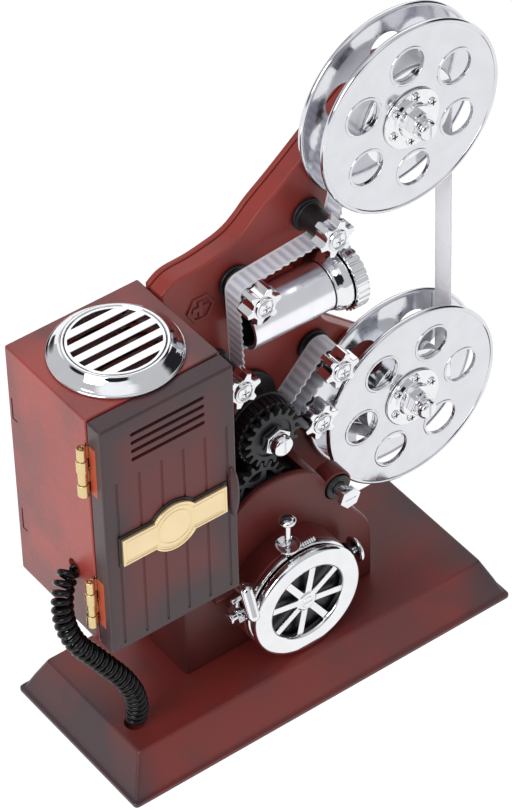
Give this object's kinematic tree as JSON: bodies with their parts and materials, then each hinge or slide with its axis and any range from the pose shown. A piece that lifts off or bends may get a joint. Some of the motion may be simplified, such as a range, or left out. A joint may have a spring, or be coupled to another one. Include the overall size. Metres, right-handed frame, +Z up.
{
  "type": "decorative film projector",
  "caption": "Tabletop film projector ornament: lamp house with hinged door, curved column, paired film reels joined by a film loop over sprockets, lens, spoked wheel and plinth.",
  "frame": {"origin": "centre of the plinth's underside", "axes": "+X along the plinth away from the lamp house, +Y to the back, +Z up; the user faces the part looking along +Y"},
  "size_m": [0.1906, 0.0688, 0.2357],
  "materials": {
    "mahogany": "satin red-brown with darkened edges",
    "mahogany_dark": "satin dark red-brown with darkened edges",
    "chrome": "bright plated, mirror-like",
    "satin_chrome": "satin plated",
    "black": "smooth black",
    "black_gloss": "glossy black",
    "brass": "bright",
    "pale_gold": "pale gold, satin",
    "steel": "plain",
    "film": "translucent, cross-ribbed",
    "glass": "clear"
  },
  "bodies": {
    "frame_body": {"base_plinth": "mahogany", "base_cover": "black", "lower_housing": "mahogany", "column_front": "mahogany", "column_back": "mahogany", "lamp_house": "mahogany", "vent_ring": "chrome", "vent_grille": "chrome", "hinge_upper_box_leaf": "brass", "hinge_lower_box_leaf": "brass", "film_belt": "film", "movement_case": "black", "upper_reel_shaft": "steel", "lower_reel_shaft": "steel", "lens_barrel": "satin_chrome", "lens_glass": "glass", "wheel_backing": "black", "wheel_trim_ring": "chrome", "button_collar": "black", "side_pipe": "chrome", "guide_stud": "chrome", "guide_ring": "black", "movement_bedplate": "brass", "spring_barrel": "brass", "music_comb": "steel", "curly_cord": "black_gloss"},
    "door": {"door_panel": "mahogany_dark", "door_pull": "mahogany_dark", "nameplate": "pale_gold", "hinge_upper_door_leaf": "brass", "hinge_lower_door_leaf": "brass"},
    "drum": {"drum": "black", "drum_gear": "black", "drum_nut": "chrome"},
    "drive_gear": {"drive_gear": "black"},
    "pin_cylinder": {"pin_cylinder": "brass"},
    "roller_1": {"roller_hub_1": "black", "sprocket_1": "chrome"},
    "roller_2": {"roller_hub_2": "black", "sprocket_2": "chrome"},
    "roller_3": {"roller_hub_3": "black", "sprocket_3": "chrome"},
    "roller_4": {"roller_hub_4": "black", "sprocket_4": "chrome"},
    "roller_5": {"roller_hub_5": "black", "sprocket_5": "chrome"},
    "upper_reel": {"upper_reel_front_flange": "chrome", "upper_reel_back_flange": "chrome", "upper_reel_core": "chrome", "upper_reel_hub": "chrome"},
    "lower_reel": {"lower_reel_front_flange": "chrome", "lower_reel_back_flange": "chrome", "lower_reel_core": "chrome", "lower_reel_hub": "chrome"},
    "focus_ring": {"focus_ring": "chrome"},
    "spoked_wheel": {"spoked_wheel": "chrome"},
    "start_pin": {"start_pin": "chrome"},
    "side_button": {"side_button": "chrome"},
    "valve_handle": {"valve_handle": "chrome"},
    "winding_key": {"winding_key": "steel"}
  },
  "joints": [
    {"name": "door_hinge", "type": "hinge", "parent": "frame_body", "child": "door", "pos_m": [-0.0809, -0.0169, 0.1135], "axis": [0, 0, -1], "range_deg": [0, 95]},
    {"name": "drum_spin", "type": "hinge", "parent": "frame_body", "child": "drum", "pos_m": [0.0008, 0.005, 0.1006], "axis": [0, -1, 0], "continuous": true},
    {"name": "drive_gear_spin", "type": "hinge", "parent": "frame_body", "child": "drive_gear", "pos_m": [-0.00509, -0.004, 0.08187], "axis": [0, -1, 0], "continuous": true},
    {"name": "roller_1_spin", "type": "hinge", "parent": "frame_body", "child": "roller_1", "pos_m": [0.03, 0.007, 0.1686], "axis": [0, -1, 0], "continuous": true},
    {"name": "roller_2_spin", "type": "hinge", "parent": "frame_body", "child": "roller_2", "pos_m": [0.0005, 0.007, 0.156], "axis": [0, -1, 0], "continuous": true},
    {"name": "roller_3_spin", "type": "hinge", "parent": "frame_body", "child": "roller_3", "pos_m": [-0.0086, 0.007, 0.1246], "axis": [0, -1, 0], "continuous": true},
    {"name": "roller_4_spin", "type": "hinge", "parent": "frame_body", "child": "roller_4", "pos_m": [0.0316, 0.007, 0.111], "axis": [0, -1, 0], "continuous": true},
    {"name": "roller_5_spin", "type": "hinge", "parent": "frame_body", "child": "roller_5", "pos_m": [0.023, 0.007, 0.0928], "axis": [0, -1, 0], "continuous": true},
    {"name": "upper_reel_spin", "type": "hinge", "parent": "frame_body", "child": "upper_reel", "pos_m": [0.0624, 0.007, 0.2], "axis": [0, -1, 0], "continuous": true},
    {"name": "lower_reel_spin", "type": "hinge", "parent": "frame_body", "child": "lower_reel", "pos_m": [0.0637, 0.007, 0.0788], "axis": [0, -1, 0], "continuous": true},
    {"name": "pin_cylinder_spin", "type": "hinge", "parent": "frame_body", "child": "pin_cylinder", "pos_m": [-0.018, 0.0036, 0.048], "axis": [1, 0, 0], "continuous": true},
    {"name": "focus_ring_turn", "type": "hinge", "parent": "frame_body", "child": "focus_ring", "pos_m": [0.0378, 0.0054, 0.1442], "axis": [1, 0, 0], "range_deg": [-120, 120]},
    {"name": "spoked_wheel_spin", "type": "hinge", "parent": "frame_body", "child": "spoked_wheel", "pos_m": [0.0005, -0.0222, 0.0387], "axis": [0, -1, 0], "continuous": true},
    {"name": "valve_turn", "type": "hinge", "parent": "frame_body", "child": "valve_handle", "pos_m": [-0.0232, -0.0158, 0.046], "axis": [0, 0, 1], "range_deg": [-90, 90]},
    {"name": "winding_key_turn", "type": "hinge", "parent": "frame_body", "child": "winding_key", "pos_m": [0.012, 0.02, 0.038], "axis": [0, -1, 0], "continuous": true},
    {"name": "start_pin_slide", "type": "slide", "parent": "frame_body", "child": "start_pin", "axis": [0, 0, 1], "range_m": [0, 0.003]},
    {"name": "side_button_press", "type": "slide", "parent": "frame_body", "child": "side_button", "axis": [-1, 0, 0], "range_m": [0, 0.0015], "stiffness_N_per_m": 80}
  ],
  "couplings": [
    {"joint": "drum_spin", "follows": "upper_reel_spin", "ratio": 1.8507},
    {"joint": "drive_gear_spin", "follows": "upper_reel_spin", "ratio": -2.0821},
    {"joint": "lower_reel_spin", "follows": "upper_reel_spin", "ratio": 1},
    {"joint": "pin_cylinder_spin", "follows": "upper_reel_spin", "ratio": -0.46269},
    {"joint": "roller_1_spin", "follows": "upper_reel_spin", "ratio": -3.6832},
    {"joint": "roller_2_spin", "follows": "upper_reel_spin", "ratio": 3.6832},
    {"joint": "roller_3_spin", "follows": "upper_reel_spin", "ratio": -3.6832},
    {"joint": "roller_4_spin", "follows": "upper_reel_spin", "ratio": -3.6832},
    {"joint": "roller_5_spin", "follows": "upper_reel_spin", "ratio": 3.6832}
  ]
}
